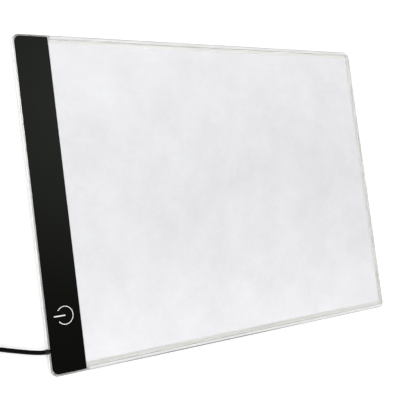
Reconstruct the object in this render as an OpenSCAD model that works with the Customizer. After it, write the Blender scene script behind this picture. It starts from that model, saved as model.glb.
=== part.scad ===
// Thin edge-lit tracing pad: an acrylic light guide between two films, lit by a row of LEDs that
// sits in a routed slot under a black strip, with a touch switch and a captive USB lead.
// The pad lies flat with its lit face up. The origin is on the surface that it stands on, under
// the middle of the pad. +X runs away from the black strip and +Z is up.

/* [Pad] */
// Length of the pad, along X
pad_w = 335; // [300:1:420]
// Depth of the pad, along Y
pad_d = 235; // [200:1:300]
// Radius of the pad's corners
corner_r = 5; // [3:0.5:10]
// Bevel round the top edge of the light guide
bevel = 0.8; // [0.3:0.1:1.2]

/* [Layers] */
// Thickness of the acrylic light guide
plate_t = 3; // [2.8:0.1:5]
// Thickness of the diffuser film and of the black strip film
film_t = 0.2; // [0.1:0.05:0.5]
// Thickness of the white reflector film
reflector_t = 0.1; // [0.1:0.05:0.3]
// Thickness of the white back sheet
back_t = 0.2; // [0.2:0.05:1]
// Air between the light guide and the films over and under it, which keeps the light inside
air_gap = 0.05; // [0.02:0.01:0.1]
// Step in from the plate's edge to the reflector's edge
reflector_inset = 0.5; // [0.2:0.1:2]

/* [Front films] */
// Width of the black strip, from the pad's edge to the strip's inner edge
strip_w = 26.5; // [25:0.5:40]
// Clear acrylic left beside the strip
strip_side_inset = 1; // [0.8:0.1:2]
// Clear acrylic left at the strip's two ends
strip_end_inset = 1.5; // [0.8:0.1:3]
// Radius of the strip's two outer corners
strip_r = 4.5; // [2:0.5:8]
// Gap between the strip and the diffuser
film_gap = 0.2; // [0.1:0.1:1]
// Clear margin round the diffuser on its three other sides
panel_margin = 6; // [3:0.5:15]
// Radius of the diffuser's corners
panel_r = 1; // [0.5:0.5:5]

/* [Feet] */
// Diameter of a foot where it is stuck on
foot_d = 8; // [6:0.5:14]
// Diameter of a foot where it stands
foot_tip_d = 7; // [4:0.5:10]
// Height of a foot
foot_h = 1; // [0.8:0.1:3]
// Distance from the pad's edges to the middle of a foot
foot_inset = 14; // [10:1:30]

/* [Light bar] */
// Acrylic between the lit wall of the slot and the strip's inner edge, hidden by the strip
slot_cover = 1.6; // [1:0.1:4]
// Acrylic left at each end of the slot
slot_end = 12; // [8:1:30]
// Room between the bar and the round end of the slot
bar_end_gap = 0.3; // [0.1:0.1:3]
// Thickness of the bar's board
bar_t = 1.2; // [0.6:0.1:2]
// Room between the bar's top edge and the strip film
bar_headroom = 0.4; // [0.2:0.1:0.6]
// Thickness of the tape that holds the bar to the slot's back wall
bar_tape_t = 0.2; // [0.1:0.05:0.5]
// Length of an LED along the bar
led_w = 3.5; // [2:0.1:5]
// Height of an LED
led_h = 2.2; // [1:0.1:2.2]
// Depth of an LED, off the bar's board
led_t = 0.8; // [0.5:0.1:2]
// Wall round the window of an LED
led_rim = 0.35; // [0.2:0.05:0.5]
// Depth of the window of an LED
led_window = 0.2; // [0.1:0.05:0.4]
// Distance from LED to LED
led_pitch = 6; // [5.5:0.1:12]
// Air between an LED and the wall that it lights
led_gap = 0.3; // [0.1:0.1:1]

/* [Control board] */
// Acrylic between the pad's edge and the routed pocket
pocket_wall = 4; // [3:0.5:6]
// Length of the pocket along the strip
pocket_len = 52; // [50:1:70]
// Acrylic between the pocket and the slot
pocket_web = 1.5; // [1:0.1:3]
// Radius that the cutter leaves in the pocket's corners
pocket_r = 1.5; // [1:0.25:3]
// Thickness of the board
board_t = 1; // [0.6:0.1:1.1]
// Room between the board and the pocket's walls
board_gap = 0.3; // [0.1:0.1:1]
// Diameter of the copper touch electrode
touch_d = 11; // [6:0.5:12]
// Distance from the pad's edge to the middle of the electrode
touch_from_side = 14; // [13:0.5:16]
// Distance from the pad's end to the middle of the electrode
touch_from_end = 39.8; // [36:0.2:50]
// Thickness of the electrode
touch_t = 0.1; // [0.05:0.05:0.2]
// Length of the touch chip's body, along X
chip_l = 4.9; // [3:0.1:6]
// Width of the touch chip's body, along Y
chip_w = 3.9; // [2:0.1:4.5]
// Height of the touch chip
chip_h = 1.4; // [0.8:0.1:1.5]
// Distance from lead to lead of the chip
chip_pitch = 1.27; // [0.65:0.01:1.27]
// Length of the transistor's body, along X
fet_l = 2.9; // [2:0.1:4]
// Width of the transistor's body, along Y
fet_w = 1.3; // [1:0.1:2]
// Height of the transistor
fet_h = 1.1; // [0.8:0.1:1.5]
// Distance between the transistor's two near leads
fet_pitch = 1.9; // [1.2:0.1:2]
// Width of the leads of the chip and of the transistor
lead_w = 0.4; // [0.2:0.05:0.5]
// Thickness of those leads
lead_t = 0.2; // [0.1:0.05:0.25]
// How far those leads stand out of a body
lead_reach = 0.8; // [0.5:0.1:1.2]
// Length of a chip resistor or capacitor
passive_l = 2; // [1:0.1:2.2]
// Width of a chip resistor or capacitor
passive_w = 1.25; // [0.5:0.05:1.6]
// Height of a chip resistor
resistor_h = 0.5; // [0.3:0.1:0.8]
// Height of a chip capacitor
capacitor_h = 0.9; // [0.5:0.1:1.4]
// Distance from one chip resistor to the next
passive_pitch = 3; // [2.5:0.1:3.2]
// Room between the board's parts, and between them and the board's ends
part_gap = 1; // [0.8:0.1:1.3]
// Length of a foam pad under the board, along X
foam_l = 11; // [6:0.5:14]
// Width of a foam pad, along Y
foam_w = 3.5; // [2:0.5:4]

/* [Cord and wires] */
// Diameter of the cord
cord_d = 3; // [2.6:0.1:3.2]
// Distance from the pad's end to the cord
cord_from_end = 17.5; // [15:0.5:20]
// Length of the strain relief's block inside the pocket
block_l = 5.5; // [4:0.5:7]
// Width of that block, along the strip
block_w = 8; // [6:0.5:10]
// Room round that block
block_gap = 0.2; // [0.1:0.05:0.5]
// Diameter of the neck that passes through the pocket's wall
neck_d = 2.6; // [2:0.1:2.8]
// Room round the neck
neck_gap = 0.2; // [0.1:0.05:0.4]
// Diameter of the nose outside the pad, at the pad's edge
nose_d = 3.6; // [3.4:0.1:5]
// Diameter of the nose at its tip
nose_tip_d = 3.2; // [3.1:0.1:4]
// Length of the nose outside the pad
nose_l = 2.5; // [2:0.5:12]
// Length of the straight root that the nose starts with
nose_root_l = 0.8; // [0.4:0.1:1.2]
// Gap between the nose's root and the pad's edge
nose_gap = 0.1; // [0.05:0.05:0.3]
// Diameter of an insulated wire
wire_d = 0.9; // [0.6:0.1:1.1]
// Distance between the two wires of a pair
wire_pitch = 1.6; // [1.2:0.1:2.5]
// Gap between a wire and the board that it lies under
wire_gap = 0.05; // [0.02:0.01:0.1]
// Bend radius of the inner supply wire
wire_bend = 2.2; // [1.5:0.1:3]
// Straight run of the supply wires out of the block
wire_lead_in = 0.8; // [0.3:0.1:1.5]
// Length of wire that is soldered under the control board
wire_lap = 3; // [2:0.5:3.5]

/* [Coil] */
// Diameter of the coil at the middle of its turns
coil_mid_d = 35.5; // [34:0.5:38]
// Turns in each of the coil's four layers
coil_turns = 3.0625; // [3.0625:1:4.0625]
// Gap between turns that lie beside or on each other
turn_gap = 0.5; // [0.45:0.05:1]
// Width of the twist tie
tie_w = 3.5; // [2:0.5:6]
// Thickness of the twist tie
tie_t = 0.4; // [0.3:0.1:0.8]
// Gap between the tie and the coil
tie_gap = 0.15; // [0.1:0.05:0.4]
// Radius inside the tie's bends
tie_r = 1.2; // [0.5:0.1:1.4]
// Turn of the tie's twisted ends, in degrees
tie_twist = 540; // [180:90:900]
// Length of the tie's twisted ends
tie_tail_l = 9; // [5:1:15]
// Width of the tie's twisted ends
tie_tail_w = 2.2; // [1.5:0.1:3]

/* [Plug] */
// Length of the ribbed boot
boot_l = 12; // [8:1:20]
// Diameter of the boot at the cord
boot_d = 4.2; // [3.6:0.1:5]
// Diameter of the boot at the grip
boot_root_d = 5.8; // [5:0.1:7]
// Number of grooves round the boot
boot_grooves = 4; // [2:1:6]
// Width of a groove
groove_w = 0.9; // [0.5:0.1:1.2]
// Depth of a groove
groove_d = 0.5; // [0.2:0.1:0.8]
// Length of the grip
grip_l = 24; // [20:1:32]
// Width of the grip
grip_w = 15.6; // [14.5:0.1:18]
// Height of the grip
grip_h = 7.6; // [7:0.1:9]
// Radius along the grip's edges
grip_r = 2.2; // [1:0.1:3]
// Length of the grip's taper towards the boot
grip_taper = 6; // [3:0.5:8]
// Number of finger grooves across each wide face of the grip
grip_grooves = 3; // [2:1:4]
// Width of the metal shell
shell_w = 12; // [11.9:0.05:12.1]
// Height of the metal shell
shell_h = 4.5; // [4.4:0.05:4.6]
// Thickness of the shell's sheet
shell_t = 0.3; // [0.25:0.05:0.35]
// Radius along the shell's edges
shell_r = 0.6; // [0.5:0.1:0.9]
// Length of the shell outside the grip
shell_out = 12; // [11.5:0.1:13]
// Length of the shell inside the grip
shell_in = 6; // [4:0.5:8]
// Room between the shell and the grip's pocket, and between the shell and its filling
shell_gap = 0.05; // [0.02:0.01:0.1]
// Side of a latch window in the shell
window_w = 2.2; // [1.8:0.1:2.5]
// Distance between the two latch windows of a face
window_pitch = 5; // [4.4:0.1:6]
// Distance from the shell's tip to the middle of a latch window
window_from_tip = 6.4; // [5.5:0.1:7]
// Thickness of the plastic tongue
tongue_t = 1.85; // [1.7:0.05:1.95]
// How far the tongue stops short of the shell's tip
tongue_short = 0.6; // [0.3:0.1:1]
// Length of the plastic block behind the tongue
tongue_block_l = 8; // [6:0.5:9]
// Distance between the two inner contacts
contact_inner = 2; // [1.9:0.1:2.2]
// Distance between the two outer contacts
contact_outer = 7; // [6.8:0.1:7.2]
// Width of a contact
contact_w = 1; // [0.8:0.1:1.2]
// Thickness of a contact
contact_t = 0.15; // [0.1:0.05:0.2]
// Length of a contact
contact_l = 7.5; // [6:0.5:8]

/* [Hidden] */
$fn = 64;
// Facets of the parts inside a hull.
hull_fn = 32;
// How far a cut runs past the faces that it opens.
cut = 1;

// Heights of the layers, from the feet up.
back_z = foot_h;
reflector_z = back_z + back_t;
well_z = reflector_z + reflector_t;
plate_z = well_z + air_gap;
film_z = plate_z + plate_t + air_gap;
cord_z = plate_z + plate_t / 2;

// Edges of the pad and of its films.
left_x = -pad_w / 2;
front_y = -pad_d / 2;
strip_x0 = left_x + strip_side_inset;
strip_x1 = left_x + strip_w;
strip_y1 = pad_d / 2 - strip_end_inset;

// The slot for the light bar.
slot_w = bar_tape_t + bar_t + led_t + led_gap;
slot_x1 = strip_x1 - slot_cover;
slot_x0 = slot_x1 - slot_w;
slot_y1 = pad_d / 2 - slot_end;
bar_x = slot_x0 + bar_tape_t;
bar_y1 = slot_y1 - slot_w / 2 - bar_end_gap;
bar_h = plate_t - bar_headroom;
led_end_gap = led_pitch / 2;
led_count = 1 + floor((2 * (bar_y1 - led_end_gap) - led_w) / led_pitch);

// The pocket for the control board and the cord's block.
cord_y = front_y + cord_from_end;
pocket_x0 = left_x + pocket_wall;
pocket_x1 = slot_x0 - pocket_web;
pocket_y0 = cord_y - block_w / 2 - block_gap;
pocket_y1 = pocket_y0 + pocket_len;
channel_w = neck_d + 2 * neck_gap;

// The control board, with its parts on the underside.
board_x0 = pocket_x0 + board_gap;
board_x1 = pocket_x1 - board_gap;
board_xm = (board_x0 + board_x1) / 2;
board_y0 = cord_y + block_w / 2 + part_gap;
board_y1 = pocket_y1 - board_gap;
board_r = pocket_r - board_gap;
board_top = film_z - touch_t;
board_z = board_top - board_t;
touch_x = left_x + touch_from_side;
touch_y = front_y + touch_from_end;
foam_t = board_z - well_z;
foam_y = [board_y0 + wire_lap + part_gap + foam_w / 2, board_y1 - part_gap - foam_w / 2];
fet_half = fet_w / 2 + lead_reach;
chip_half = chip_w / 2 + lead_reach;
fet_y = foam_y[0] + foam_w / 2 + part_gap + fet_half;
led_wire_y = fet_y;
chip_y = fet_y + fet_half + part_gap + chip_half;
resistor_y = chip_y + chip_half + part_gap + passive_w / 2;
capacitor_y = resistor_y + passive_w + part_gap;
resistor_count = 4;
capacitor_count = 2;
wire_z = board_z - wire_gap - wire_d / 2;
notch_w = wire_pitch + 3 * wire_d;
block_x0 = pocket_x0 + block_gap;
block_x1 = block_x0 + block_l;
block_h = plate_t - 2 * block_gap;
block_r = pocket_r - block_gap;

// The cord's route from the tip of the strain relief to the coil: X and Y from that tip, then the
// share of the drop from the nose's height to the coil's. Past 1 it dips to the floor in between.
tip = [left_x - nose_l, cord_y, 0];
lead_route = [
    [0, 0, 0], [-2, 0.15, 0], [-4.5, 0.55, 0.1], [-8, 1.25, 0.38], [-12, 2.2, 0.8], [-17, 3.5, 1.25],
    [-23, 5.15, 1.58], [-30, 7.1, 1.68], [-37, 8.9, 1.55], [-44, 10.3, 1.28], [-51, 11.15, 1.08],
    [-58, 11.5, 1], [-62, 11.5, 1]
];

// The coil: four layers that spiral in, out, in and out again.
turn_pitch = cord_d + turn_gap;
loop_steps = 24;
layers = 4;
coil_r_out = coil_mid_d / 2 + coil_turns * turn_pitch / 2;
coil_r_in = coil_mid_d / 2 - coil_turns * turn_pitch / 2;
coil_z = tie_t + tie_gap + cord_d / 2;
coil_top_z = coil_z + (layers - 1) * turn_pitch;
lead_points = [for (p = lead_route) tip + [p.x, p.y, cord_z + p.z * (coil_z - cord_z)]];
lead_end = lead_points[len(lead_points) - 1];
coil_centre = [lead_end.x - cord_d, lead_end.y + coil_r_out, 0];
coil_start_angle = 270;
tie_angle = 90;

// The cord's route from the coil to the plug: X and Y from the coil's end, then the share of the
// drop from the coil's top layer to the plug's height.
tail_route = [
    [0, 0, 0], [0, 3, 0], [0.5, 9, 0.08], [1.8, 15, 0.26], [3.8, 21, 0.5], [6.2, 27, 0.74],
    [8.6, 33, 0.91], [10.6, 39, 0.99], [11.7, 45, 1], [12, 51, 1], [12, 54, 1]
];
plug_z = grip_h / 2;
coil_end = coil_points()[len(coil_points()) - 1];
tail_points = [for (p = tail_route) coil_end + [p.x, p.y, p.z * (plug_z - coil_end.z)]];
plug_at = tail_points[len(tail_points) - 1];

// Places along the plug, from the end of the cord.
grip_x1 = boot_l + grip_l;
shell_x0 = grip_x1 - shell_in;
shell_x1 = grip_x1 + shell_out;
tongue_x1 = shell_x1 - tongue_short;
fill_w = shell_w - 2 * shell_t - 2 * shell_gap;
fill_h = shell_h - 2 * shell_t - 2 * shell_gap;
fill_r = shell_r - shell_t;

// Rectangle from corner a to corner b, with corners of radius r.
module rounded_rect(a, b, r) {
    translate([a.x + r, a.y])
        square([b.x - a.x - 2 * r, b.y - a.y]);
    translate([a.x, a.y + r])
        square([b.x - a.x, b.y - a.y - 2 * r]);
    for (x = [a.x + r, b.x - r], y = [a.y + r, b.y - r])
        translate([x, y])
            circle(r);
}

// The pad's outline, drawn in by a step on every side.
module pad_outline(step = 0) {
    half = [pad_w / 2 - step, pad_d / 2 - step];
    rounded_rect(-half, half, corner_r - step);
}

// Stands a profile drawn in Y and Z, and runs it along X from x0 to x1.
module along_x(x0, x1) {
    translate([x0, 0, 0])
        rotate([90, 0, 90])
            linear_extrude(x1 - x0)
                children();
}

// Turns a profile of radius against length round the X axis, from x0 on.
module turned_along_x(x0) {
    translate([x0, 0, 0])
        rotate([0, 90, 0])
            rotate_extrude()
                children();
}

// Everything that the router cuts through the plate: slot, pocket, wire notch and cord channel.
module routed_outline() {
    translate([slot_x0, -slot_y1 + slot_w / 2])
        square([slot_w, 2 * slot_y1 - slot_w]);
    for (side = [-1, 1])
        translate([slot_x0 + slot_w / 2, side * (slot_y1 - slot_w / 2)])
            circle(slot_w / 2);
    rounded_rect([pocket_x0, pocket_y0], [pocket_x1, pocket_y1], pocket_r);
    translate([pocket_x1 - cut, led_wire_y - notch_w / 2])
        square([pocket_web + 2 * cut, notch_w]);
    translate([left_x - cut, cord_y - channel_w / 2])
        square([pocket_wall + 2 * cut, channel_w]);
}

module light_guide_plate() {
    color([0.86, 0.88, 0.87, 0.6])
        difference() {
            translate([0, 0, plate_z])
                hull() {
                    linear_extrude(plate_t - bevel)
                        pad_outline($fn = hull_fn);
                    linear_extrude(plate_t)
                        pad_outline(bevel, $fn = hull_fn);
                }
            translate([0, 0, plate_z - cut])
                linear_extrude(plate_t + 2 * cut)
                    routed_outline();
        }
}

module diffuser_film() {
    color([0.94, 0.94, 0.95])
        translate([0, 0, film_z])
            linear_extrude(film_t)
                rounded_rect(
                    [strip_x1 + film_gap, front_y + panel_margin],
                    [pad_w / 2 - panel_margin, pad_d / 2 - panel_margin],
                    panel_r
                );
}

// The black film has two round corners at the pad's edge and two square ones at the diffuser.
module strip_film() {
    color([0.1, 0.1, 0.1])
        translate([0, 0, film_z])
            linear_extrude(film_t)
                union() {
                    rounded_rect([strip_x0, -strip_y1], [strip_x1, strip_y1], strip_r);
                    translate([strip_x0 + strip_r, -strip_y1])
                        square([strip_x1 - strip_x0 - strip_r, 2 * strip_y1]);
                }
}

module reflector_film() {
    color([0.97, 0.97, 0.97])
        translate([0, 0, reflector_z])
            linear_extrude(reflector_t)
                pad_outline(reflector_inset);
}

module back_sheet() {
    color([0.93, 0.93, 0.92])
        translate([0, 0, back_z])
            linear_extrude(back_t)
                pad_outline();
}

module rubber_feet() {
    color([0.2, 0.2, 0.2])
        for (x = [-1, 1], y = [-1, 1])
            translate([x * (pad_w / 2 - foot_inset), y * (pad_d / 2 - foot_inset), 0])
                cylinder(h = foot_h, d1 = foot_tip_d, d2 = foot_d);
}

module led_bar_board() {
    color([0.9, 0.9, 0.88])
        translate([bar_x, -bar_y1, well_z])
            cube([bar_t, 2 * bar_y1, bar_h]);
}

// The tape starts past the wires, which are soldered to the back of the bar.
module led_bar_tape() {
    tape_y0 = led_wire_y + notch_w / 2;
    color([0.85, 0.83, 0.75])
        translate([slot_x0, tape_y0, well_z])
            cube([bar_tape_t, bar_y1 - tape_y0, bar_h]);
}

// One LED lies on its board and looks along +X, out of a shallow window.
module led() {
    difference() {
        translate([0, -led_w / 2, -led_h / 2])
            cube([led_t, led_w, led_h]);
        translate([led_t - led_window, led_rim - led_w / 2, led_rim - led_h / 2])
            cube([led_window + cut, led_w - 2 * led_rim, led_h - 2 * led_rim]);
    }
}

module leds() {
    color([0.96, 0.9, 0.55])
        for (i = [0 : led_count - 1])
            translate([bar_x + bar_t, (i - (led_count - 1) / 2) * led_pitch, well_z + bar_h / 2])
                led();
}

module control_board() {
    color([0.1, 0.35, 0.2])
        translate([0, 0, board_z])
            linear_extrude(board_t)
                rounded_rect([board_x0, board_y0], [board_x1, board_y1], board_r);
}

// The electrode lies on the board and touches the strip film under the printed sign.
module touch_electrode() {
    color([0.8, 0.55, 0.3])
        translate([touch_x, touch_y, board_top])
            cylinder(h = touch_t, d = touch_d);
}

// Places a part, drawn standing on its board, upside down under the control board.
module under_board(x, y) {
    translate([x, y, board_z])
        mirror([0, 0, 1])
            children();
}

// A moulded body of length l, width w and height h with leads bent down to the board: their
// places along X are given for the +Y side and for the -Y side.
module leaded_body(l, w, h, far_leads, near_leads) {
    standoff = lead_t / 2;
    translate([-l / 2, -w / 2, standoff])
        cube([l, w, h - standoff]);
    for (side = [1, -1], x = side > 0 ? far_leads : near_leads)
        translate([x - lead_w / 2, side > 0 ? w / 2 : -w / 2 - lead_reach, 0]) {
            cube([lead_w, lead_reach, lead_t]);
            translate([0, side > 0 ? 0 : lead_reach - lead_t, 0])
                cube([lead_w, lead_t, h / 2]);
        }
}

module touch_chip() {
    leads = [for (i = [0 : 3]) (i - 1.5) * chip_pitch];
    color([0.12, 0.12, 0.13])
        under_board(board_xm, chip_y)
            leaded_body(chip_l, chip_w, chip_h, leads, leads);
}

module dimming_transistor() {
    color([0.12, 0.12, 0.13])
        under_board(board_x0 + part_gap + fet_l / 2, fet_y)
            leaded_body(fet_l, fet_w, fet_h, [0], [-fet_pitch / 2, fet_pitch / 2]);
}

// A row of chip parts of height h across the board.
module passive_row(count, y, h) {
    for (i = [0 : count - 1])
        under_board(board_xm + (i - (count - 1) / 2) * passive_pitch, y)
            translate([-passive_l / 2, -passive_w / 2, 0])
                cube([passive_l, passive_w, h]);
}

module chip_resistors() {
    color([0.15, 0.15, 0.16])
        passive_row(resistor_count, resistor_y, resistor_h);
}

module chip_capacitors() {
    color([0.62, 0.5, 0.36])
        passive_row(capacitor_count, capacitor_y, capacitor_h);
}

module foam_pads() {
    color([0.25, 0.25, 0.27])
        for (y = foam_y)
            translate([board_xm - foam_l / 2, y - foam_w / 2, well_z])
                cube([foam_l, foam_w, foam_t]);
}

// A supply wire leaves the block along +X, turns to +Y and ends under the control board. Both
// wires turn about one point, at their own radius.
module supply_wire(bend) {
    turn_x = block_x1 + wire_lead_in;
    turn_y = cord_y + wire_bend + wire_pitch / 2;
    translate([block_x1, turn_y - bend, wire_z])
        rotate([0, 90, 0])
            cylinder(h = wire_lead_in, d = wire_d);
    translate([turn_x, turn_y, wire_z])
        rotate([0, 0, -90])
            rotate_extrude(angle = 90)
                translate([bend, 0])
                    circle(d = wire_d);
    translate([turn_x + bend, turn_y, wire_z])
        rotate([-90, 0, 0])
            cylinder(h = board_y0 + wire_lap - turn_y, d = wire_d);
}

module supply_wire_positive() {
    color([0.75, 0.1, 0.1])
        supply_wire(wire_bend);
}

module supply_wire_negative() {
    color([0.1, 0.1, 0.1])
        supply_wire(wire_bend + wire_pitch);
}

// An LED wire runs straight from under the control board to the back of the light bar.
module led_wire(side) {
    translate([board_x1 - wire_lap, led_wire_y + side * wire_pitch / 2, wire_z])
        rotate([0, 90, 0])
            cylinder(h = bar_x - board_x1 + wire_lap, d = wire_d);
}

module led_wire_positive() {
    color([0.75, 0.1, 0.1])
        led_wire(1);
}

module led_wire_negative() {
    color([0.1, 0.1, 0.1])
        led_wire(-1);
}

// The strain relief is one moulding: a block that the pocket traps, a neck through the pocket's
// wall, and a tapered nose that the cord leaves by.
module strain_relief() {
    half = [block_l / 2, block_w / 2];
    neck_x1 = block_x0 + block_r;
    color([0.08, 0.08, 0.08])
        translate([0, cord_y, cord_z])
            union() {
                translate([block_x0 + block_l / 2, 0, -block_h / 2])
                    linear_extrude(block_h)
                        rounded_rect(-half, half, block_r);
                turned_along_x(left_x - nose_l)
                    polygon([
                        [0, 0],
                        [nose_tip_d / 2, 0],
                        [nose_d / 2, nose_l - nose_root_l - nose_gap],
                        [nose_d / 2, nose_l - nose_gap],
                        [neck_d / 2, nose_l - nose_gap],
                        [neck_d / 2, nose_l + neck_x1 - left_x],
                        [0, nose_l + neck_x1 - left_x]
                    ]);
            }
}

// Unit vector along v.
function unit(v) = v / norm(v);

// Heading of a route at its point i, with given headings at its two ends.
function heading(points, i, first, last) =
    i == 0 ? first : i == len(points) - 1 ? last : unit(points[i + 1] - points[i - 1]);

// A ring of points round c, square to a heading that is never upright.
function ring(c, along, d, sides) =
    let (side = unit(cross([0, 0, 1], along)), up = cross(along, side))
    [for (k = [0 : sides - 1]) c + d / 2 * (cos(360 * k / sides) * side + sin(360 * k / sides) * up)];

// A tube of diameter d along a route, closed by a flat face at each end.
module tube(points, first, last, d, sides) {
    rings = len(points);
    skin = [for (i = [0 : rings - 1]) each ring(points[i], heading(points, i, first, last), d, sides)];
    walls = [
        for (i = [0 : rings - 2], k = [0 : sides - 1])
            let (a = i * sides + k, b = i * sides + (k + 1) % sides)
            each [[a, b + sides, b], [a, a + sides, b + sides]]
    ];
    end = (rings - 1) * sides;
    caps = [for (k = [1 : sides - 2]) each [[0, k, k + 1], [end, end + k + 1, end + k]]];
    polyhedron(skin, concat(walls, caps));
}

module usb_cord() {
    color([0.08, 0.08, 0.08])
        tube(lead_points, [-1, 0, 0], [-1, 0, 0], cord_d, 8);
}

// Height of the coil after u turns, counted in layers: it climbs one in the half turn round each
// place where the spiral reverses.
function coil_layer(u) =
    let (climbs = [for (i = [1 : layers - 1]) min(1, max(0, 2 * (u - i * coil_turns) + 0.5))])
    climbs * [for (climb = climbs) 1];

// Radius of the coil after u turns, in on even layers and out on odd ones.
function coil_radius(u) =
    let (layer = min(layers - 1, floor(u / coil_turns)), part = u / coil_turns - layer)
    coil_r_out - (coil_r_out - coil_r_in) * (layer % 2 == 0 ? part : 1 - part);

// The coil runs clockwise seen from above, with a short straight run at each end.
function coil_point(u) =
    let (angle = coil_start_angle - 360 * u, r = coil_radius(u))
    coil_centre + [r * cos(angle), r * sin(angle), coil_z + turn_pitch * coil_layer(u)];
function coil_points() =
    let (steps = layers * coil_turns * loop_steps)
    concat(
        [lead_end],
        [for (i = [0 : steps]) coil_point(i / loop_steps)],
        [coil_point(layers * coil_turns) + [0, cord_d, 0]]
    );

// Least gap between turns, over all pairs of points at least half a turn apart.
function least_gap(points) =
    min([
        for (i = [0 : len(points) - 1], j = [i + loop_steps / 2 : len(points) - 1])
            norm(points[i] - points[j])
    ]) - cord_d;

// Length of a route.
function route_length(points, i = 1) =
    i == len(points) ? 0 : norm(points[i] - points[i - 1]) + route_length(points, i + 1);

module usb_cord_coil() {
    points = coil_points();
    echo(str("least gap of the coil to itself: ", least_gap(points), " mm"));
    echo(str("length of the coiled cord: ", route_length(points), " mm"));
    color([0.08, 0.08, 0.08])
        tube(points, [-1, 0, 0], [0, 1, 0], cord_d, 6);
}

module usb_cord_tail() {
    color([0.08, 0.08, 0.08])
        tube(tail_points, [0, 1, 0], [0, 1, 0], cord_d, 8);
}

// The tie goes round all turns of the coil at one place and ends in a twist.
module coil_tie() {
    low = [coil_r_in - cord_d / 2 - tie_gap, tie_t];
    high = [coil_r_out + cord_d / 2 + tie_gap, coil_top_z + cord_d / 2 + tie_gap];
    skin = [tie_t, tie_t];
    color([0.15, 0.15, 0.15])
        translate(coil_centre)
            rotate(tie_angle)
                union() {
                    rotate([90, 0, 0])
                        linear_extrude(tie_w, center = true)
                            difference() {
                                rounded_rect(low - skin, high + skin, tie_r + tie_t);
                                rounded_rect(low, high, tie_r);
                            }
                    translate([high.x + tie_t / 2, 0, coil_top_z / 2])
                        rotate([0, 90, 0])
                            linear_extrude(tie_tail_l + tie_t / 2, twist = tie_twist, slices = 24, $fn = 8)
                                square([tie_tail_w, 2 * tie_t], center = true);
                }
}

// Places the plug, drawn along +X from the end of the cord, where the cord's tail ends.
module at_plug() {
    translate(plug_at)
        rotate(90)
            children();
}

// Radius of the boot at a distance from the cord.
function boot_r(x) = (boot_d + (boot_root_d - boot_d) * x / boot_l) / 2;

module plug_boot() {
    step = boot_l / (boot_grooves + 1);
    color([0.08, 0.08, 0.08])
        at_plug()
            turned_along_x(0)
                polygon(concat(
                    [[0, 0], [boot_r(0), 0]],
                    [
                        for (i = [1 : boot_grooves])
                            let (x0 = i * step - groove_w / 2, x1 = i * step + groove_w / 2)
                            each [
                                [boot_r(x0), x0],
                                [boot_r(x0) - groove_d, x0],
                                [boot_r(x1) - groove_d, x1],
                                [boot_r(x1), x1]
                            ]
                    ],
                    [[boot_r(boot_l), boot_l], [0, boot_l]]
                ));
}

module grip_outline() {
    half = [grip_w, grip_h] / 2;
    rounded_rect(-half, half, grip_r);
}

module plug_grip() {
    taper_x1 = boot_l + grip_taper;
    slice = 0.5;
    groove_step = 2 * groove_w;
    groove_x0 = (taper_x1 + shell_x0 - (grip_grooves - 1) * groove_step) / 2;
    color([0.08, 0.08, 0.08])
        at_plug()
            difference() {
                union() {
                    hull() {
                        along_x(boot_l, boot_l + slice)
                            circle(d = boot_root_d, $fn = hull_fn);
                        along_x(taper_x1 - slice, taper_x1)
                            grip_outline($fn = hull_fn);
                    }
                    along_x(taper_x1 - slice, grip_x1)
                        grip_outline();
                }
                along_x(shell_x0, grip_x1 + cut)
                    square([shell_w, shell_h] + 2 * [shell_gap, shell_gap], center = true);
                for (i = [0 : grip_grooves - 1], side = [-1, 1])
                    translate([groove_x0 + i * groove_step, 0, side * grip_h / 2])
                        cube([groove_w, grip_w - 2 * grip_r, 2 * groove_d], center = true);
            }
}

// The shell is folded from sheet and has two latch windows in each wide face.
module plug_shell() {
    outer = [shell_w, shell_h] / 2;
    inner = outer - [shell_t, shell_t];
    color([0.8, 0.8, 0.82])
        at_plug()
            difference() {
                along_x(shell_x0, shell_x1)
                    difference() {
                        rounded_rect(-outer, outer, shell_r);
                        rounded_rect(-inner, inner, fill_r);
                    }
                for (side = [-1, 1])
                    translate([shell_x1 - window_from_tip, side * window_pitch / 2, 0])
                        cube([window_w, window_w, shell_h + 2 * cut], center = true);
            }
}

// The plastic filling of the shell: a block at the back, and the tongue along the lower wall.
module plug_tongue() {
    fill = [fill_w, fill_h] / 2;
    color([0.93, 0.93, 0.92])
        at_plug()
            union() {
                along_x(shell_x0, shell_x0 + tongue_block_l)
                    rounded_rect(-fill, fill, fill_r);
                along_x(shell_x0 + tongue_block_l - cut, tongue_x1)
                    intersection() {
                        rounded_rect(-fill, fill, fill_r);
                        translate(-fill)
                            square([fill_w, tongue_t]);
                    }
            }
}

module plug_contacts() {
    color([0.85, 0.7, 0.35])
        at_plug()
            for (y = [-contact_outer, -contact_inner, contact_inner, contact_outer] / 2)
                translate([shell_x0 + tongue_block_l, y - contact_w / 2, tongue_t - fill_h / 2])
                    cube([contact_l, contact_w, contact_t]);
}

light_guide_plate();
diffuser_film();
strip_film();
reflector_film();
back_sheet();
rubber_feet();
led_bar_board();
led_bar_tape();
leds();
control_board();
touch_electrode();
touch_chip();
dimming_transistor();
chip_resistors();
chip_capacitors();
foam_pads();
supply_wire_positive();
supply_wire_negative();
led_wire_positive();
led_wire_negative();
strain_relief();
usb_cord();
usb_cord_coil();
usb_cord_tail();
coil_tie();
plug_boot();
plug_grip();
plug_shell();
plug_tongue();
plug_contacts();
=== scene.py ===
"""Looks of a thin LED tracing pad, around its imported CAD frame.

The pad lies on a pale floor with its white panel up. New pieces are the cord, which is one unbroken lead from
the strain relief through its coil to the plug, and the printed power sign. All other solids keep their CAD
meshes and get their finish here. Sizes of pieces and patterns are written in millimetres and MM turns them to
metres. The stage is in metres.
"""

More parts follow.
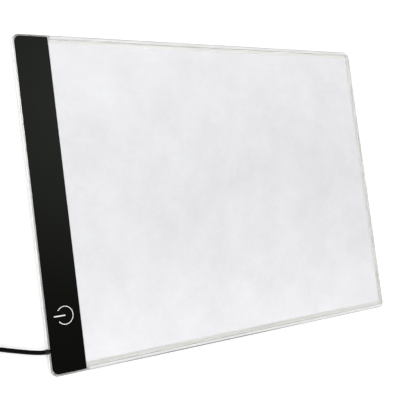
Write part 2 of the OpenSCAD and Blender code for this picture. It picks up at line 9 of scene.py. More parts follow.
import bpy
import numpy as np
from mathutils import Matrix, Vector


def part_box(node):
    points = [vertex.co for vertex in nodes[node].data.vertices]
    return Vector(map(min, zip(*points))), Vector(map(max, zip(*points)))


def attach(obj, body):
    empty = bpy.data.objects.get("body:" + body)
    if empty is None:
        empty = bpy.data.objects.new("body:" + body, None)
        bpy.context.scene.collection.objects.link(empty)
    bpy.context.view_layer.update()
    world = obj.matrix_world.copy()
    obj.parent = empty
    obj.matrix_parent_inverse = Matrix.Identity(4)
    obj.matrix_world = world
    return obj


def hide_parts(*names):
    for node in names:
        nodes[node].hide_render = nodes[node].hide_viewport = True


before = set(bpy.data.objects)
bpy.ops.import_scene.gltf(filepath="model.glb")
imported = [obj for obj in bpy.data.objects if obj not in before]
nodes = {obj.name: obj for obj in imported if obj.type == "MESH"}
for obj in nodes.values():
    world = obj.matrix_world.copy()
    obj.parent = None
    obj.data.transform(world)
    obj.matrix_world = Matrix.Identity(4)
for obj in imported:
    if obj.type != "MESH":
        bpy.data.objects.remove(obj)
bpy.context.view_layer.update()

MM = 0.001
TURN = 2 * np.pi


# Camera: fitted to the pad's edges in a square picture whose middle the optical axis passes through
PICTURE_PX = 400
FOCAL_PX = 840.6
SENSOR = 36.0
CAMERA_AT = np.array([-421.3, -45.0, 521.9]) * MM
CAMERA_TURN = np.radians([8.833, -36.635, -9.138])


def place_camera():
    """A camera of the fitted focal length, at the fitted place and turn."""
    data = bpy.data.cameras.new("camera")
    data.sensor_width = SENSOR
    data.lens = SENSOR * FOCAL_PX / PICTURE_PX
    camera = bpy.data.objects.new("camera", data)
    camera.location = CAMERA_AT
    camera.rotation_euler = CAMERA_TURN
    bpy.context.scene.collection.objects.link(camera)
    bpy.context.scene.camera = camera


place_camera()


# Surfaces: grids of points, worked out as whole arrays

def new_piece(name, points, faces, smooth=True):
    """A mesh object at the origin, from an array of points in metres and a list of faces."""
    mesh = bpy.data.meshes.new(name)
    mesh.from_pydata(points.tolist(), [], faces)
    mesh.polygons.foreach_set("use_smooth", np.full(len(mesh.polygons), smooth))
    mesh.update()
    piece = bpy.data.objects.new(name, mesh)
    bpy.context.scene.collection.objects.link(piece)
    return piece


def skin_faces(rows, columns):
    """Faces of a closed skin: quads between rows of points that close on themselves, and two flat ends."""
    row = np.arange(rows - 1)[:, None] * columns
    here = np.arange(columns)[None, :]
    after = (here + 1) % columns
    quads = np.stack([row + here, row + after, row + columns + after, row + columns + here], axis=-1)
    first = np.arange(columns)[::-1]
    last = (rows - 1) * columns + np.arange(columns)
    return quads.reshape(-1, 4).tolist() + [first.tolist(), last.tolist()]


def carried(path, profile):
    """A closed profile of (side, up) pairs carried along a path that is nowhere upright.

    Point (i, k) is path_i + side_k * s_i + up_k * u_i. s_i is level and square to the path's heading, and
    u_i is square to both.
    """
    along = np.gradient(path, axis=0)
    along /= np.linalg.norm(along, axis=1, keepdims=True)
    side = np.cross([0.0, 0.0, 1.0], along)
    side /= np.linalg.norm(side, axis=1, keepdims=True)
    up = np.cross(along, side)
    points = path[:, None] + profile[None, :, :1] * side[:, None] + profile[None, :, 1:] * up[:, None]
    return points.reshape(-1, 3)


def lengths(path):
    """Distance along a path from its start to each of its points."""
    return np.concatenate([[0.0], np.linalg.norm(np.diff(path, axis=0), axis=1).cumsum()])


# Cord: one lead from the nose of the strain relief, through a coil, to the boot of the plug
CORD_D = 3.0
CORD_SIDES = 20
COIL_MID_D = 35.5
COIL_Z = 2.05
COIL_TURNS = 3.0625
COIL_LAYERS = 4
COIL_START = np.radians(270.0)
TURN_PITCH = 3.5
LOOP_STEPS = 48
SPAN_STEPS = 6
# X and Y from the nose's tip, then the share of the drop from the nose's height to the coil's
LEAD_ROUTE = np.array([
    [0, 0, 0], [-2, 0.15, 0], [-4.5, 0.55, 0.1], [-8, 1.25, 0.38], [-12, 2.2, 0.8], [-17, 3.5, 1.25],
    [-23, 5.15, 1.58], [-30, 7.1, 1.68], [-37, 8.9, 1.55], [-44, 10.3, 1.28], [-51, 11.15, 1.08],
    [-58, 11.5, 1], [-62, 11.5, 1],
])
# X and Y from the coil's end, then the share of the drop from the coil's top layer to the plug's height
TAIL_ROUTE = np.array([
    [0, 0, 0], [0, 3, 0], [0.5, 9, 0.08], [1.8, 15, 0.26], [3.8, 21, 0.5], [6.2, 27, 0.74],
    [8.6, 33, 0.91], [10.6, 39, 0.99], [11.7, 45, 1], [12, 51, 1], [12, 54, 1],
])


def middle(node):
    """The middle of a CAD node's box, in millimetres."""
    low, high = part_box(node)
    return np.array(low + high) / 2 / MM


def smooth_route(start, route, drop):
    """A Catmull-Rom curve through a route's points: offsets from its start, and shares of its drop."""
    points = start + np.column_stack([route[:, :2], route[:, 2] * drop])
    padded = np.vstack([2 * points[0] - points[1], points, 2 * points[-1] - points[-2]])
    a, b, c, d = (padded[i:len(padded) - 3 + i, None] for i in range(4))
    t = (np.arange(SPAN_STEPS) / SPAN_STEPS)[None, :, None]
    curve = b + (c - a) / 2 * t + (a - 2.5 * b + 2 * c - d / 2) * t**2 + (1.5 * (b - c) + (d - a) / 2) * t**3
    return np.vstack([curve.reshape(-1, 3), points[-1:]])


def coil_path(centre):
    """The coil's centreline: a spiral in, out, in and out again, clockwise seen from above.

    After u turns its radius is a triangle wave of u, and its height has climbed one pitch in the half turn
    round each place where the spiral reverses.
    """
    u = np.linspace(0, COIL_LAYERS * COIL_TURNS, round(COIL_LAYERS * COIL_TURNS * LOOP_STEPS) + 1)
    inward = 1 - np.abs(1 - u / COIL_TURNS % 2)
    radius = COIL_MID_D / 2 + COIL_TURNS * TURN_PITCH * (0.5 - inward)
    reversals = COIL_TURNS * np.arange(1, COIL_LAYERS)[:, None]
    climbed = np.clip(2 * (u - reversals) + 0.5, 0, 1).sum(axis=0)
    angle = COIL_START - TURN * u
    height = COIL_Z + TURN_PITCH * climbed
    return centre + np.column_stack([radius * np.cos(angle), radius * np.sin(angle), height])


def cord_path():
    """The whole centreline in millimetres: lead, coil and tail."""
    nose = middle("strain_relief")
    tip = np.array([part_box("strain_relief")[0].x / MM, nose[1], nose[2]])
    lead = smooth_route(tip, LEAD_ROUTE, COIL_Z - tip[2])
    outer_r = COIL_MID_D / 2 + COIL_TURNS * TURN_PITCH / 2
    coil = coil_path(lead[-1] * [1, 1, 0] + [-CORD_D, outer_r, 0])
    coil_end = coil[-1] + [0, CORD_D, 0]
    tail = smooth_route(coil_end, TAIL_ROUTE, middle("plug_boot")[2] - coil_end[2])
    return np.vstack([lead, coil, tail])


def tube_map(path):
    """UV of the cord's faces in face order: distance round the tube and distance along it, both in metres.

    The two flat ends come last and get zeros.
    """
    girth = np.arange(CORD_SIDES + 1) / CORD_SIDES * np.pi * CORD_D * MM
    corners = np.stack(np.meshgrid(girth, lengths(path)), axis=-1)
    quads = np.stack([corners[:-1, :-1], corners[:-1, 1:], corners[1:, 1:], corners[1:, :-1]], axis=2)
    return np.concatenate([quads.ravel(), np.zeros(4 * CORD_SIDES)])


def make_cord():
    """A round tube along the cord's centreline, from a circle of CORD_SIDES points."""
    path = cord_path() * MM
    angle = np.arange(CORD_SIDES) / CORD_SIDES * TURN
    circle = np.column_stack([np.cos(angle), np.sin(angle)]) * CORD_D / 2 * MM
    cord = new_piece("usb_cord_lead", carried(path, circle), skin_faces(len(path), CORD_SIDES))
    cord.data.uv_layers.new(name="length").uv.foreach_set("vector", tube_map(path))
    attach(cord, "root")
    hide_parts("usb_cord", "usb_cord_coil", "usb_cord_tail")
    lengths(path)[-1]
    return cord


cord = make_cord()


# Power sign: an open ring and a bar in white ink, printed on the black strip
SIGN_AT = np.array([-152.7, -77.7])
RING_R = 6.1
RING_W = 0.5
RING_OPENING = np.radians(36.0)
BAR_ENDS = (-8.5, 0.2)
BAR_W = 0.82
INK_T = 0.03
RING_STEPS = 97
BAR_STEPS = 9


def ink_stroke(name, line, width):
    """A band of ink with a flat top and sloped sides, carried along a line on the strip's face."""
    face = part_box("strip_film")[1].z / MM
    path = np.column_stack([line, np.full(len(line), face)])
    half = width / 2
    band = np.array([[-half, 0], [half, 0], [half - INK_T, INK_T], [INK_T - half, INK_T]])
    stroke = new_piece(name, carried(path, band) * MM, skin_faces(len(path), len(band)), smooth=False)
    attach(stroke, "root")
    return stroke


def make_sign():
    """A circle less its opening, which faces the pad's edge, and a straight bar out through the opening."""
    angle = np.linspace(np.pi - RING_OPENING, RING_OPENING - np.pi, RING_STEPS)
    ring = SIGN_AT + RING_R * np.column_stack([np.cos(angle), np.sin(angle)])
    bar = SIGN_AT + np.column_stack([np.linspace(*BAR_ENDS, BAR_STEPS), np.zeros(BAR_STEPS)])
    return ink_stroke("power_sign_ring", ring, RING_W), ink_stroke("power_sign_bar", bar, BAR_W)


power_sign = make_sign()


# Materials

def linear(code):
    """A linear RGBA colour from an sRGB hex code."""
    srgb = np.array([int(code[i:i + 2], 16) for i in (1, 3, 5)]) / 255
    rgb = np.where(srgb <= 0.04045, srgb / 12.92, ((srgb + 0.055) / 1.055) ** 2.4)
    return (*rgb.tolist(), 1.0)


def across(size):
    """The texture scale that makes features this many millimetres across."""
    return 1 / (size * MM)


def connect(tree, node, sockets):
    """Gives a node's inputs, by name or place, a link from an output or a plain value."""
    for key, value in sockets.items():
        if isinstance(value, bpy.types.NodeSocket):
            tree.links.new(value, node.inputs[key])
        else:
            node.inputs[key].default_value = value


def add(tree, kind, sockets=None, **settings):
    """Adds a node of a kind with its settings, then its inputs."""
    node = tree.nodes.new("ShaderNode" + kind)
    for key, value in settings.items():
        setattr(node, key, value)
    connect(tree, node, sockets or {})
    return node


def new_material(name):
    """A new material, with its node tree, its shader and the object coordinates that its patterns read."""
    material = bpy.data.materials.new(name)
    material.use_nodes = True
    tree = material.node_tree
    return material, tree, tree.nodes["Principled BSDF"], add(tree, "TexCoord").outputs["Object"]


def dress(material, *pieces):
    """Gives pieces, or CAD nodes by name, one material."""
    for piece in pieces:
        slots = (nodes[piece] if isinstance(piece, str) else piece).data.materials
        slots.clear()
        slots.append(material)


# Diffuser film: the ellipse of painted light and shade round which it whitens, its clouds, the dots behind it
# and its frost
PAINTED_LIGHT_MIDDLE = np.array([58, -7, 0]) * MM
PAINTED_LIGHT_AXES = np.array([470, 125, 1000]) * MM
PAINTED_LIGHT_REACH = 1.18
PAINTED_SHADE_LEVEL = -0.475
PAINTED_LIGHT_LEVEL = 0.025
CLOUD_SIZE = 45
CLOUD_STRENGTH = 1.4
DOT_PITCH = 1.5
DOT_STRENGTH = 0.18
FROST_SIZE = 0.5
FROST_DEPTH = 0.01
# A wave texture repeats after this length at a scale of 1
WAVE_LENGTH = np.pi / 10


def frosted_polyester():
    """Frosted polyester film: a soft cool white, cloudy from the glue and air behind it.

    It is painted greyer in its middle and whiter towards its long sides. This is painted light, standing for
    the light from the clear margins that gets behind it. The dots that are engraved in the light guide show
    through faintly at their own pitch.
    The film's fine frost is drawn coarser than it is, so that it shows.
    """
    material, tree, shader, place = new_material("frosted polyester film")
    # Painted light and shade: the film's colour is greyer in the middle and whiter towards its long sides
    spread = add(tree, "Mapping", {
        "Vector": place, "Location": PAINTED_LIGHT_MIDDLE, "Scale": PAINTED_LIGHT_AXES,
    }, vector_type="TEXTURE")
    reach = add(tree, "VectorMath", {0: spread.outputs[0]}, operation="LENGTH")
    painted_light = add(tree, "MapRange", {
        "Value": reach.outputs["Value"], "From Min": 0.0, "From Max": PAINTED_LIGHT_REACH,
        "To Min": PAINTED_SHADE_LEVEL, "To Max": PAINTED_LIGHT_LEVEL,
    }, interpolation_type="SMOOTHSTEP")
    cloud = add(tree, "TexNoise", {
        "Vector": place, "Scale": across(CLOUD_SIZE), "Detail": 6.0, "Roughness": 0.78,
    })
    white = add(tree, "Math", {
        0: cloud.outputs["Fac"], 1: CLOUD_STRENGTH, 2: painted_light.outputs["Result"],
    }, operation="MULTIPLY_ADD")
    tone = add(tree, "Mix", {
        0: white.outputs[0], 6: linear("#DBDBDE"), 7: linear("#F2F2F5"),
    }, data_type="RGBA")
    waves = {"Vector": place, "Scale": WAVE_LENGTH * across(DOT_PITCH)}
    columns = add(tree, "TexWave", waves, bands_direction="X")
    rows = add(tree, "TexWave", waves, bands_direction="Y")
    dots = add(tree, "Math", {0: columns.outputs["Fac"], 1: rows.outputs["Fac"]}, operation="MULTIPLY")
    share = add(tree, "Math", {0: dots.outputs[0], 1: DOT_STRENGTH}, operation="MULTIPLY")
    dotted = add(tree, "Mix", {
        0: share.outputs[0], 6: tone.outputs[2], 7: linear("#CDD0D4"),
    }, data_type="RGBA")
    frost = add(tree, "TexNoise", {"Vector": place, "Scale": across(FROST_SIZE), "Detail": 2.0})
    relief = add(tree, "Bump", {"Height": frost.outputs["Fac"], "Distance": FROST_DEPTH * MM})
    connect(tree, shader, {
        "Base Color": dotted.outputs[2], "Roughness": 0.55, "IOR": 1.57, "Normal": relief.outputs["Normal"],
    })
    return material


# Clear plate: faces are told apart by how far their normals rise, from 0 for a wall to 1 for a level face
BEVEL_RISE = 0.9
WALL_RISE = 0.3
SAW_MARK = 0.8
SAW_STRETCH = 0.05
POLISH_ROUGHNESS = 0.02
HAZE_ROUGHNESS = 0.22
CUT_HAZE = 0.45
# Buffed bands: how far in from the plate's edge each starts, its fade and its haze, and where they leave off
SIDE_BAND = 3.1
SIDE_HAZE = 0.65
END_BAND = 4.1
END_HAZE = 0.25
BAND_FADE = 1.0
BAND_START_X = -139
# Painted shade on the bevel, for the shadow along the near edge: its middle, how far off it starts and stops
# to fade, and what is left there
BEVEL_SHADE_AT = np.array([-30, -117, 4]) * MM
BEVEL_SHADE_NEAR = 30
BEVEL_SHADE_FAR = 110
BEVEL_SHADE_LEFT = 0.4


def cast_acrylic():
    """Cast acrylic: clear, with polished faces, a hazy bevel and satin sawn walls that look white.

    The bevel is painted grey all round as shade, and most in the middle of the near side, where it stands for
    the shadow along that edge.
    Just inside the bevel a band is buffed hazy along the long sides, and a fainter one along the right end.
    """
    material, tree, shader, place = new_material("clear cast acrylic")
    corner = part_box("light_guide_plate")[1]
    side = add(tree, "NewGeometry").outputs
    normal = add(tree, "SeparateXYZ", {0: side["Normal"]})
    rise = add(tree, "Math", {0: normal.outputs["Z"]}, operation="ABSOLUTE")
    cut = add(tree, "Math", {0: rise.outputs[0], 1: BEVEL_RISE}, operation="LESS_THAN")
    wall = add(tree, "Math", {0: rise.outputs[0], 1: WALL_RISE}, operation="LESS_THAN")
    bevel = add(tree, "Math", {0: cut.outputs[0], 1: wall.outputs[0]}, operation="SUBTRACT")

    spot = add(tree, "SeparateXYZ", {0: place})
    depth = add(tree, "Math", {0: spot.outputs["Y"]}, operation="ABSOLUTE")
    sides = add(tree, "MapRange", {
        "Value": depth.outputs[0], "From Min": corner.y - SIDE_BAND * MM,
        "From Max": corner.y - (SIDE_BAND - BAND_FADE) * MM, "To Min": 0.0, "To Max": SIDE_HAZE,
    })
    end = add(tree, "MapRange", {
        "Value": spot.outputs["X"], "From Min": corner.x - END_BAND * MM,
        "From Max": corner.x - (END_BAND - BAND_FADE) * MM, "To Min": 0.0, "To Max": END_HAZE,
    })
    bands = add(tree, "Math", {0: sides.outputs["Result"], 1: end.outputs["Result"]}, operation="MAXIMUM")
    beside = add(tree, "Math", {0: spot.outputs["X"], 1: BAND_START_X * MM}, operation="GREATER_THAN")
    faces = add(tree, "Math", {0: beside.outputs[0], 1: wall.outputs[0]}, operation="SUBTRACT")
    buffed = add(tree, "Math", {0: bands.outputs[0], 1: faces.outputs[0]}, operation="MULTIPLY")
    sawn = add(tree, "Math", {0: cut.outputs[0], 1: CUT_HAZE}, operation="MULTIPLY")
    haze = add(tree, "Math", {0: sawn.outputs[0], 1: buffed.outputs[0]}, operation="MAXIMUM")

    upright = add(tree, "Mapping", {"Vector": place, "Scale": (1.0, 1.0, SAW_STRETCH)})
    marks = add(tree, "TexNoise", {"Vector": upright.outputs[0], "Scale": across(SAW_MARK), "Detail": 3.0})
    satin = add(tree, "MapRange", {"Value": marks.outputs["Fac"], "To Min": 0.15, "To Max": 0.35})
    smooth = add(tree, "Math", {
        0: haze.outputs[0], 1: HAZE_ROUGHNESS, 2: POLISH_ROUGHNESS,
    }, operation="MULTIPLY_ADD")
    gloss = add(tree, "Math", {
        0: wall.outputs[0], 1: satin.outputs["Result"], 2: smooth.outputs[0],
    }, operation="MULTIPLY_ADD")

    # A sawn wall is nearly opaque from outside. From inside it is nearly clear, so light leaves by it
    through = add(tree, "Math", {0: 1.0, 1: haze.outputs[0]}, operation="SUBTRACT")
    milk = add(tree, "MapRange", {"Value": side["Backfacing"], "To Min": -0.5, "To Max": 0.35})
    clear = add(tree, "Math", {
        0: wall.outputs[0], 1: milk.outputs["Result"], 2: through.outputs[0],
    }, operation="MULTIPLY_ADD")

    # Painted shade: the bevel's colour is greyed, most round the middle of the near side
    away = add(tree, "VectorMath", {0: place, 1: BEVEL_SHADE_AT}, operation="DISTANCE")
    shade_fade = add(tree, "MapRange", {
        "Value": away.outputs["Value"], "From Min": BEVEL_SHADE_NEAR * MM, "From Max": BEVEL_SHADE_FAR * MM,
        "To Min": 1.0, "To Max": BEVEL_SHADE_LEFT,
    }, interpolation_type="SMOOTHSTEP")
    painted_shade = add(tree, "Math", {0: bevel.outputs[0], 1: shade_fade.outputs["Result"]}, operation="MULTIPLY")
    tone = add(tree, "Mix", {
        0: painted_shade.outputs[0], 6: linear("#FEFEFD"), 7: linear("#6E706E"),
    }, data_type="RGBA")
    connect(tree, shader, {
        "Base Color": tone.outputs[2], "Roughness": gloss.outputs[0], "IOR": 1.49,
        "Transmission Weight": clear.outputs[0],
    })
    return material


def black_film():
    """Polyester film printed black on its face, with a satin hard coat whose shine is faintly green.

    Its underside is left white. Sizes: patches 30 mm, grain 0.6 mm across and 0.006 mm deep.
    """
    material, tree, shader, place = new_material("satin black polyester film")
    normal = add(tree, "SeparateXYZ", {0: add(tree, "NewGeometry").outputs["Normal"]})
    under = add(tree, "Math", {0: normal.outputs["Z"], 1: -0.5}, operation="LESS_THAN")
    patch = add(tree, "TexNoise", {"Vector": place, "Scale": across(30), "Detail": 2.0})
    ink = add(tree, "Mix", {
        0: patch.outputs["Fac"], 6: linear("#020302"), 7: linear("#040504"),
    }, data_type="RGBA")
    tone = add(tree, "Mix", {0: under.outputs[0], 6: ink.outputs[2], 7: linear("#F2F2F0")}, data_type="RGBA")
    gloss = add(tree, "MapRange", {"Value": patch.outputs["Fac"], "To Min": 0.2, "To Max": 0.28})
    grain = add(tree, "TexNoise", {"Vector": place, "Scale": across(0.6), "Detail": 2.0})
    relief = add(tree, "Bump", {"Height": grain.outputs["Fac"], "Distance": 0.006 * MM})
    connect(tree, shader, {
        "Base Color": tone.outputs[2], "Roughness": gloss.outputs["Result"], "IOR": 1.57,
        "Specular IOR Level": 0.097, "Specular Tint": linear("#F8FFEE"), "Normal": relief.outputs["Normal"],
    })
    return material


def cord_sheath():
    """Extruded PVC: black, half matt, with draw lines along its length.

    Sizes: patches 12 mm, lines 0.5 mm wide, 50 times as long and 0.02 mm deep.
    """
    material, tree, shader, place = new_material("black PVC sheath")
    run = add(tree, "TexCoord").outputs["UV"]
    drawn = add(tree, "Mapping", {"Vector": run, "Scale": (1.0, 0.02, 1.0)})
    lines = add(tree, "TexNoise", {"Vector": drawn.outputs[0], "Scale": across(0.5), "Detail": 2.0})
    patch = add(tree, "TexNoise", {"Vector": place, "Scale": across(12), "Detail": 2.0})
    tone = add(tree, "Mix", {
        0: patch.outputs["Fac"], 6: linear("#010101"), 7: linear("#030303"),
    }, data_type="RGBA")
    gloss = add(tree, "MapRange", {"Value": lines.outputs["Fac"], "To Min": 0.5, "To Max": 0.62})
    relief = add(tree, "Bump", {"Height": lines.outputs["Fac"], "Distance": 0.02 * MM})
    connect(tree, shader, {
        "Base Color": tone.outputs[2], "Roughness": gloss.outputs["Result"], "IOR": 1.53,
        "Specular IOR Level": 0.05, "Normal": relief.outputs["Normal"],
    })
    return material


def pigmented(name, dark, light, patch, grain, depth, roughness, shine=0.5):
    """Pigmented plastic, rubber, ink or ceramic: two close tones in patches, and a grain on its face.

    The sizes of the patches and the grain, and the grain's depth, are in millimetres. A grain that is too
    fine to show is drawn coarser than it is.
    """
    material, tree, shader, place = new_material(name)
    patches = add(tree, "TexNoise", {"Vector": place, "Scale": across(patch), "Detail": 2.0})
    tone = add(tree, "Mix", {0: patches.outputs["Fac"], 6: linear(dark), 7: linear(light)}, data_type="RGBA")
    grains = add(tree, "TexNoise", {"Vector": place, "Scale": across(grain), "Detail": 3.0})
    gloss = add(tree, "MapRange", {
        "Value": grains.outputs["Fac"], "To Min": roughness - 0.05, "To Max": roughness + 0.05,
    })
    relief = add(tree, "Bump", {"Height": grains.outputs["Fac"], "Distance": depth * MM})
    connect(tree, shader, {
        "Base Color": tone.outputs[2], "Roughness": gloss.outputs["Result"],
        "Specular IOR Level": shine, "Normal": relief.outputs["Normal"],
    })
    return material


def plated(name, dark, light, roughness):
    """Rolled metal sheet, plated or bare: fine lines along Y, and slight rubbing in patches.

    Sizes: patches 3 mm, lines 0.25 mm wide, 25 times as long and 0.004 mm deep.
    """
    material, tree, shader, place = new_material(name)
    rubbed = add(tree, "TexNoise", {"Vector": place, "Scale": across(3), "Detail": 3.0})
    rolled = add(tree, "Mapping", {"Vector": place, "Scale": (1.0, 0.04, 1.0)})
    lines = add(tree, "TexNoise", {"Vector": rolled.outputs[0], "Scale": across(0.25), "Detail": 2.0})
    tone = add(tree, "Mix", {0: rubbed.outputs["Fac"], 6: linear(dark), 7: linear(light)}, data_type="RGBA")
    gloss = add(tree, "MapRange", {
        "Value": rubbed.outputs["Fac"], "To Min": roughness - 0.08, "To Max": roughness + 0.1,
    })
    relief = add(tree, "Bump", {"Height": lines.outputs["Fac"], "Distance": 0.004 * MM})
    connect(tree, shader, {
        "Base Color": tone.outputs[2], "Metallic": 1.0, "Roughness": gloss.outputs["Result"],
        "Normal": relief.outputs["Normal"],
    })
    return material


# The pad's layers
dress(cast_acrylic(), "light_guide_plate")
dress(frosted_polyester(), "diffuser_film")
dress(black_film(), "strip_film")
# Screen ink lies thick and flat, with a slight orange peel
dress(
    pigmented("white screen ink", "#F0F0EE", "#FAFAF8", patch=4, grain=0.5, depth=0.004, roughness=0.5),
    *power_sign,
)
# Voided polyester film scatters nearly all light
dress(
    pigmented(
        "white voided polyester", "#E7E7E4", "#EEEEEB", patch=20, grain=0.8, depth=0.002, roughness=0.5,
    ),
    "reflector_film",
)
# Calendered PVC sheet takes a fine leather grain from its roll
dress(
    pigmented("white calendered PVC", "#E8E8E6", "#F0F0EE", patch=40, grain=0.7, depth=0.03, roughness=0.6),
    "back_sheet",
)
# Moulded silicone is matt and picks up dust
dress(
    pigmented("black silicone rubber", "#1B1B1B", "#2A2A2A", patch=3, grain=0.4, depth=0.02, roughness=0.75),
    "rubber_feet",
)

# The cord, its tie and its plug
dress(cord_sheath(), cord)
# PVC moulded in an eroded steel tool is finely matt
dress(
    pigmented(
        "black moulded PVC", "#060606", "#0C0C0C", patch=5, grain=0.35, depth=0.02, roughness=0.5, shine=0.25,
    ),
    "strain_relief", "plug_boot", "plug_grip",
)
# A twist tie is a wire between two ribbons of soft vinyl, which have a dull shine
dress(
    pigmented(
        "black soft vinyl", "#0A0A0A", "#121212", patch=4, grain=0.6, depth=0.02, roughness=0.42, shine=0.3,
    ),
    "coil_tie",
)
# Nickel plate on folded steel sheet is a warm grey with a soft shine
dress(plated("nickel-plated steel", "#A09E99", "#B8B6B1", roughness=0.3), "plug_shell")
# Moulded nylon is a warm white with a slight sheen
dress(
    pigmented("white moulded nylon", "#E6E6E1", "#EFEFEB", patch=3, grain=0.3, depth=0.006, roughness=0.45),
    "plug_tongue",
)
# A thin coat of gold on stamped contacts is bright and smooth
dress(plated("gold plating", "#D4A54C", "#E4BB68", roughness=0.25), "plug_contacts")

# The LED bar, the control board and the wires
# Solder mask is a thin lacquer, a little glossy, in white where it sends light back
dress(
    pigmented("white solder mask", "#E6E6E1", "#F0F0EB", patch=8, grain=0.5, depth=0.004, roughness=0.4),
    "led_bar_board",
)
dress(
    pigmented("green solder mask", "#0D522B", "#146A3A", patch=6, grain=0.4, depth=0.006, roughness=0.35),
    "control_board",
)
# Acrylic foam tape is a dull cream
dress(
    pigmented("acrylic foam tape", "#D6D1C0", "#E2DDCC", patch=5, grain=0.4, depth=0.01, roughness=0.7),
    "led_bar_tape",
)
# Phosphor stirred into silicone is a soft yellow
dress(
    pigmented("phosphor in silicone", "#EFD873", "#F7E88E", patch=1, grain=0.2, depth=0.004, roughness=0.45),
    "leds",
)
# Bare copper foil is pink and slightly dulled
dress(plated("bare copper", "#C08052", "#D39A6C", roughness=0.35), "touch_electrode")
# Epoxy moulding compound is charcoal and finely matt
dress(
    pigmented(
        "black moulding compound", "#151517", "#202023", patch=2, grain=0.2, depth=0.006, roughness=0.6,
    ),
    "touch_chip", "dimming_transistor", "chip_resistors",
)
# Fired ceramic is tan and dull
dress(
    pigmented("fired tan ceramic", "#86694A", "#A28461", patch=1, grain=0.2, depth=0.004, roughness=0.5),
    "chip_capacitors",
)
# Cut closed-cell foam is dull, with a pit for each cell
dress(
    pigmented("closed-cell foam", "#262628", "#38383B", patch=2, grain=0.5, depth=0.08, roughness=0.9),
    "foam_pads",
)
# Extruded PVC insulation is smooth and half glossy
dress(
    pigmented("red PVC insulation", "#9C1212", "#B41C1C", patch=2, grain=0.4, depth=0.005, roughness=0.45),
    "supply_wire_positive", "led_wire_positive",
)
dress(
    pigmented("black PVC insulation", "#101010", "#1C1C1C", patch=2, grain=0.4, depth=0.005, roughness=0.45),
    "supply_wire_negative", "led_wire_negative",
)


# Stage, in metres: a paper sweep that rises all round, and soft lamps
HUB_R = 0.024
FLOOR_R = 2.4
SWEEP_R = 0.6
WALL_TOP = 1.6
SWEEP_STEPS = 13
ROUND_STEPS = 64
# How much the paper is lifted to white near the pad and far from it
NEAR_LIFT = 0.55
FAR_LIFT = 1.0
NEAR_R = 0.35
FAR_R = 1.4
SURROUND = 0.25
WHITE = (1.0, 1.0, 1.0, 1.0)
# A lamp's fade in shares of its width. The peak gives it the mean brightness of an even lamp
FADE_START = 0.05
FADE_END = 0.55
FADE_PEAK = 3.11
# Name, place, width, height and mean brightness
LAMPS = [
    ("left", (-1.3, 0.4, 0.65), 1.1, 1.1, 4.1),
    ("far_side", (0.85, 0.45, 1.4), 1.2, 1.8, 0.75),
    ("behind", (0.4, 0.75, 0.55), 0.7, 0.7, 1.1),
    ("near_side", (0.0, -0.7, 0.5), 0.7, 0.7, 2.5),
    ("right", (1.25, 0.1, 0.9), 1.0, 1.0, 0.45),
]


def white_paper():
    """Matt paper, which camera, glossy and transmission rays see lifted to white, with its shadows kept.

    Its fibre is 1.5 mm across, coarser than it is.
    """
    material, tree, shader, place = new_material("white paper sweep")
    fibre = add(tree, "TexNoise", {"Vector": place, "Scale": across(1.5), "Detail": 2.0})
    tone = add(tree, "Mix", {
        0: fibre.outputs["Fac"], 6: linear("#C6C6C6"), 7: linear("#CACACA"),
    }, data_type="RGBA")
    ray = add(tree, "LightPath").outputs
    direct = add(tree, "Math", {0: ray["Is Camera Ray"], 1: ray["Is Glossy Ray"]}, operation="MAXIMUM")
    seen = add(tree, "Math", {0: direct.outputs[0], 1: ray["Is Transmission Ray"]}, operation="MAXIMUM")
    away = add(tree, "VectorMath", {0: place}, operation="LENGTH")
    level = add(tree, "MapRange", {
        "Value": away.outputs["Value"], "From Min": NEAR_R, "From Max": FAR_R,
        "To Min": NEAR_LIFT, "To Max": FAR_LIFT,
    })
    lift = add(tree, "Math", {0: seen.outputs[0], 1: level.outputs["Result"]}, operation="MULTIPLY")
    connect(tree, shader, {
        "Base Color": tone.outputs[2], "Roughness": 0.9, "Specular IOR Level": 0.0,
        "Emission Color": WHITE, "Emission Strength": lift.outputs[0],
    })
    return material


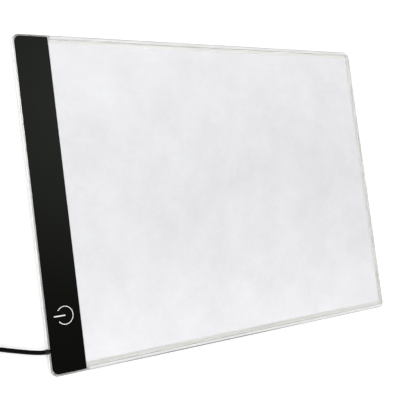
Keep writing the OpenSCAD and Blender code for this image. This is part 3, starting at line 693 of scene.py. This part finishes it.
def make_sweep():
    """A profile of radius and height, which is a floor, a quarter circle and a wall, turned round Z.

    The floor's middle is closed by a small flat disc, and the wall is open at its top.
    """
    bend = np.linspace(0, np.pi / 2, SWEEP_STEPS)
    radius = np.concatenate([[HUB_R], FLOOR_R + SWEEP_R * np.sin(bend), [FLOOR_R + SWEEP_R]])
    height = np.concatenate([[0.0], SWEEP_R * (1 - np.cos(bend)), [WALL_TOP]])
    angle = np.arange(ROUND_STEPS) / ROUND_STEPS * TURN
    points = np.stack([
        radius[:, None] * np.cos(angle), radius[:, None] * np.sin(angle),
        np.broadcast_to(height[:, None], (len(radius), ROUND_STEPS)),
    ], axis=-1)
    faces = skin_faces(len(radius), ROUND_STEPS)[:-1]
    sweep = new_piece("paper_sweep", points.reshape(-1, 3), faces)
    dress(white_paper(), sweep)


def softbox(name, at, width, height, brightness):
    """A lamp that faces the middle of the pad, bright in its middle and fading towards its edges."""
    data = bpy.data.lights.new(name, "AREA")
    data.shape = "RECTANGLE"
    data.size = width
    data.size_y = height
    data.energy = brightness * np.pi * width * height
    data.use_nodes = True
    tree = data.node_tree
    place = add(tree, "NewGeometry").outputs["Parametric"]
    off = add(tree, "VectorMath", {0: place, 1: (0.5, 0.5, 0.0)}, operation="DISTANCE")
    fade = add(tree, "MapRange", {
        "Value": off.outputs["Value"], "From Min": FADE_START, "From Max": FADE_END,
        "To Min": FADE_PEAK, "To Max": 0.0,
    }, interpolation_type="SMOOTHSTEP")
    connect(tree, tree.nodes["Emission"], {"Strength": fade.outputs["Result"]})
    x, y, z = at
    lamp = bpy.data.objects.new(name, data)
    lamp.location = at
    lamp.rotation_euler = (np.arctan2(np.hypot(x, y), z), 0, np.arctan2(x, -y))
    bpy.context.scene.collection.objects.link(lamp)


def light_stage():
    """A dim white surround and soft lamps all round, the strongest on the left."""
    world = bpy.data.worlds.new("surround")
    world.use_nodes = True
    tree = world.node_tree
    connect(tree, tree.nodes["Background"], {"Color": WHITE, "Strength": SURROUND})
    bpy.context.scene.world = world
    for lamp in LAMPS:
        softbox(*lamp)
    bpy.context.scene.view_settings.view_transform = "Standard"
    # Unblurred refraction keeps the white film under the clear plate white
    bpy.context.scene.cycles.blur_glossy = 0.0


make_sweep()
light_stage()
